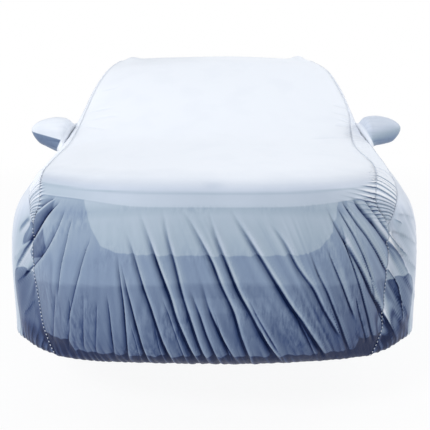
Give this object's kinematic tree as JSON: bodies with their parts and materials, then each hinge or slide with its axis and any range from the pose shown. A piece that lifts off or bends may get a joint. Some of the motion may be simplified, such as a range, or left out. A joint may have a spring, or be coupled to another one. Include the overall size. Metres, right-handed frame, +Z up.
{
  "type": "car cover",
  "caption": "Fitted cloth cover for a compact car: a hollow shell with gathered seams, mirror pockets and an elastic hem.",
  "frame": {"origin": "inner face of the cloth under the highest part of the roof, where the covered car carries it", "axes": "+Z up, the cover's front towards -Y, its left mirror pocket towards -X"},
  "size_m": [2.0682, 4.4565, 1.3409],
  "materials": {
    "centre_cloth": "thin silvery coated polyester, soft sheen",
    "side_cloth": "thin silvery coated polyester, soft sheen",
    "gusset_cloth": "the same cloth, ruched along its seams",
    "pocket_cloth": "the same cloth"
  },
  "bodies": {
    "root": {"centre_panel": "centre_cloth", "side_panel_left": "side_cloth", "side_panel_right": "side_cloth", "gusset_left": "gusset_cloth", "gusset_right": "gusset_cloth", "mirror_pocket_left": "pocket_cloth", "mirror_pocket_right": "pocket_cloth"}
  },
  "joints": []
}
